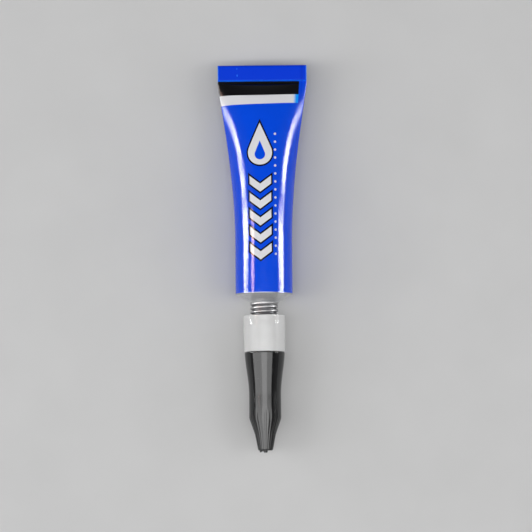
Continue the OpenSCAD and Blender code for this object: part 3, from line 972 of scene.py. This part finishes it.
def tear_gate(piece):
    """Makes the gate's end uneven and leaves a torn sliver of flash on the rim beside it."""
    end_y = SHOULDER_Y - CAP_AT - CAP_LEN
    shape = bmesh.new()
    shape.from_mesh(piece.data)
    for vertex in shape.verts:
        if vertex.co.y < end_y - 0.3 * MM:
            turn = math.atan2(vertex.co.x, vertex.co.z - AXIS_Z)
            vertex.co.y += GATE_TEAR * (1 + math.sin(3 * turn + 0.8))
    rows = []
    for i, height in enumerate(FLASH):
        turn = math.radians(FLASH_FROM + FLASH_SWEEP * i / (len(FLASH) - 1))
        row = []
        for radius, beyond in ((1.2, -0.2), (1.5, -0.2), (1.44, height), (1.3, height)):
            spot = (radius * MM * math.sin(turn), end_y - beyond * MM, AXIS_Z + radius * MM * math.cos(turn))
            row.append(shape.verts.new(spot))
        rows.append(row)
    for a, b in zip(rows, rows[1:]):
        for k in range(4):
            shape.faces.new((a[k], a[(k + 1) % 4], b[(k + 1) % 4], b[k]))
    shape.faces.new(rows[0])
    shape.faces.new(rows[-1])
    bmesh.ops.recalc_face_normals(shape, faces=shape.faces)
    shape.to_mesh(piece.data)
    shape.free()


def make_cap(finish, tree):
    """Black cap with grooves round its nose, a torn gate at its end and a closing pin inside."""
    skirt, nose = cap_outline()
    full = cap_high.y - cap_low.y
    rim = [(0.0, CAP_BORE_R, 0.12 * MM), (0.0, CAP_MOUTH_R - 0.005 * MM, 0.12 * MM)]
    outside = [(along, radius, 0.0) for along, radius in skirt[1:] + nose]
    end = [
        (NOSE_AT, NOSE_R, 0.5 * MM),
        (CAP_LEN, CAP_END_R, 0.45 * MM),
        (CAP_LEN, GATE_R * 1.25, 0.1 * MM),
        (full, GATE_R * 0.9, 0.1 * MM),
        (full, 0.0, 0.0),
    ]
    inside = [
        (CAP_DEPTH - PIN_LEN, 0.0, 0.0),
        (CAP_DEPTH - PIN_LEN, PIN_R, 0.08 * MM),
        (CAP_DEPTH, PIN_R, 0.05 * MM),
        (CAP_DEPTH, NOSE_R - CAP_WALL - 0.1 * MM, 0.3 * MM),
        (NOSE_AT, NOSE_R - CAP_WALL, 0.3 * MM),
        (WAIST_END, WAIST_R - CAP_WALL, 0.5 * MM),
        (CAP_BORE_LEN + 2.5 * MM, WAIST_R - CAP_WALL + 0.3 * MM, 0.4 * MM),
        (CAP_BORE_LEN, CAP_BORE_R, 0.2 * MM),
    ]
    outline = finer(soft_corners(rim + outside + end + inside), CAP_ROW)
    piece = turned("long_cap", outline, CAP_AT, FLUTE_COLUMNS * FLUTE_COUNT, CAP_SHARP)
    tear_gate(piece)
    cut_grooves(
        piece, tree, finish, CAP_SHARP,
        start=SHOULDER_Y - CAP_AT - FLUTE_AT, length=CAP_LEN - FLUTE_AT + FLUTE_RUN, ease=FLUTE_RUN,
        turns=float(FLUTE_COUNT), wave=0.0, crisp=0.1, depth=FLUTE_DEPTH,
        from_radius=CAP_END_R * 0.55, to_radius=CAP_MOUTH_R,
    )
    return piece


# Stage, light and camera

def make_floor():
    """Wide pale floor under the tube."""
    half = 3.0
    mesh = bpy.data.meshes.new("floor")
    corners = [(-half, -half, 0), (half, -half, 0), (half, half, 0), (-half, half, 0)]
    mesh.from_pydata(corners, [], [(0, 1, 2, 3)])
    f = Finish("pale_floor", {"Roughness": 0.9, "Specular IOR Level": 0.0})
    tone = f.blend(f.ramp(f.noise(20 * MM, detail=2.0), 0.3, 0.7), FLOOR_PALE, FLOOR_DULL)
    mesh.materials.append(f.use(base_color=tone))
    floor = bpy.data.objects.new("floor", mesh)
    bpy.context.scene.collection.objects.link(floor)


def softbox(name, place, wide, long, brightness, colour=(1, 1, 1), down=False, twist=0.0,
            for_gloss=True, for_colour=True, only_on=None):
    """Rectangular lamp turned to the tube or straight down; a mirror shows brightness 1 as white.

    It can light gloss alone, colour alone, or only the pieces of one collection.
    """
    lamp = bpy.data.lights.new(name, "AREA")
    lamp.shape = "RECTANGLE"
    lamp.size = wide
    lamp.size_y = long
    lamp.energy = brightness * math.pi * wide * long
    lamp.color = colour
    box = bpy.data.objects.new(name, lamp)
    box.location = place
    if not down:
        box.rotation_mode = "ZYX"
        box.rotation_euler = (0, math.atan2(place[0], place[2]), math.radians(twist))
    box.visible_camera = False
    box.visible_glossy = for_gloss
    box.visible_diffuse = for_colour
    box.light_linking.receiver_collection = only_on
    bpy.context.scene.collection.objects.link(box)


def make_light(glossy):
    """Banks over the cap and its nose, strips for the gloss of some pieces and a room dark overhead."""
    over = 0.62
    low = 0.453
    for name, y, long, for_colour in (
        ("bank", -0.086, 0.208, True),
        ("nose_bank", -0.395, 0.41, False),
    ):
        softbox("left_" + name, (-0.56, y, low), 0.553, long, 3.2, for_colour=for_colour)
        for side, x, wide, brightness in (
            ("inner_", -0.289, 0.142, 3.3),
            ("top_", -0.0375, 0.361, 5.0),
            ("right_", 0.38, 0.477, 2.9),
        ):
            softbox(side + name, (x, y, over), wide, long, brightness, down=True, for_colour=for_colour)
    softbox("left_fill", (-0.6, 0.02, 0.36), 0.6, 0.5, 1.5, for_gloss=False)
    softbox("right_fill", (0.6, 0.02, 0.36), 0.6, 0.5, 1.8, for_gloss=False)
    aside = 0.6
    for name, place, wide, long, twist in (
        ("left_near_strip", (-aside, 0.0598, 0.140), 0.23, 0.0445, 5.7),
        ("left_far_strip", (-aside, 0.117, 0.107), 0.16, 0.042, 11.0),
        ("right_near_strip", (aside, 0.0548, 0.18), 0.25, 0.0415, -4.0),
        ("right_far_strip", (aside, 0.115, 0.107), 0.16, 0.044, -11.0),
    ):
        softbox(name, place, wide, long, 42.0, twist=twist, for_colour=False, only_on=glossy)
    softbox("pink_strip", (-aside, 0.080, 0.585), 0.16, 0.06, 36.0, (1.0, 0.64, 0.52), for_colour=False)
    world = bpy.data.worlds.new("studio")
    world.use_nodes = True
    tree = world.node_tree
    aim = tree.nodes.new("ShaderNodeSeparateXYZ")
    tree.links.new(tree.nodes.new("ShaderNodeTexCoord").outputs["Generated"], aim.inputs[0])
    fall = tree.nodes.new("ShaderNodeMapRange")
    fall.interpolation_type = "SMOOTHSTEP"
    horizon, overhead = 0.27, 0.11
    for socket, value in zip(list(fall.inputs)[1:5], (0.05, 0.75, horizon, overhead)):
        socket.default_value = value
    tree.links.new(aim.outputs[2], fall.inputs[0])
    tree.links.new(fall.outputs[0], tree.nodes["Background"].inputs["Strength"])
    tree.nodes["Background"].inputs["Color"].default_value = (1, 1, 1, 1)
    bpy.context.scene.world = world


def make_camera():
    """Camera over the tube, a little towards the cap, framed as a square picture."""
    distance = 1200 * MM
    picture = 125.5 * MM
    tip = math.radians(4.5)
    roll = math.radians(-0.54)
    centre = (0.5 * MM, -1.76 * MM, AXIS_Z)
    lens = bpy.data.cameras.new("camera")
    lens.sensor_width = 36.0
    lens.lens = lens.sensor_width * distance / picture
    lens.clip_start = 10 * MM
    lens.clip_end = 10.0
    camera = bpy.data.objects.new("camera", lens)
    camera.location = (
        centre[0] + distance * math.sin(tip) * math.sin(roll),
        centre[1] - distance * math.sin(tip) * math.cos(roll),
        centre[2] + distance * math.cos(tip),
    )
    camera.rotation_euler = (tip, 0, roll)
    bpy.context.scene.collection.objects.link(camera)
    bpy.context.scene.camera = camera


def dress_solid(node, finish):
    """Gives a solid that stays as it is a finish of its own."""
    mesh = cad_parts[node].data
    mesh.materials.clear()
    mesh.materials.append(finish)


def main():
    make_camera()
    make_floor()
    glossy = bpy.data.collections.new("glossy_pieces")
    make_light(glossy)
    aluminium = drawn_aluminium()
    white = natural_polythene()
    black = black_polythene()
    tree = groove_tree()
    for piece, body, node, slot in (
        (make_tube_wall(printed_lacquer()), "tube", "tube_sleeve", "blue_lacquer"),
        (make_rolled_tail(plain_lacquer()), "tube", "tail_fold", "blue_lacquer"),
        (make_threaded_neck(aluminium, tree), "tube", "shoulder_neck", "bare_aluminium"),
        (make_nozzle(white, tree), "nozzle", "nozzle", "natural_plastic"),
        (make_cap(black, tree), "cap", "cap", "black_plastic"),
    ):
        # The rolled tail is satin, so the strips leave it alone
        if node != "tail_fold":
            glossy.objects.link(piece)
        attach(piece, body)
        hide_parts(node)
    dress_solid("neck_membrane", aluminium)
    dress_solid("tail_seal", cured_latex())
    dress_solid("adhesive_fill", clear_glue())
    bpy.context.scene.view_settings.view_transform = "Standard"


main()
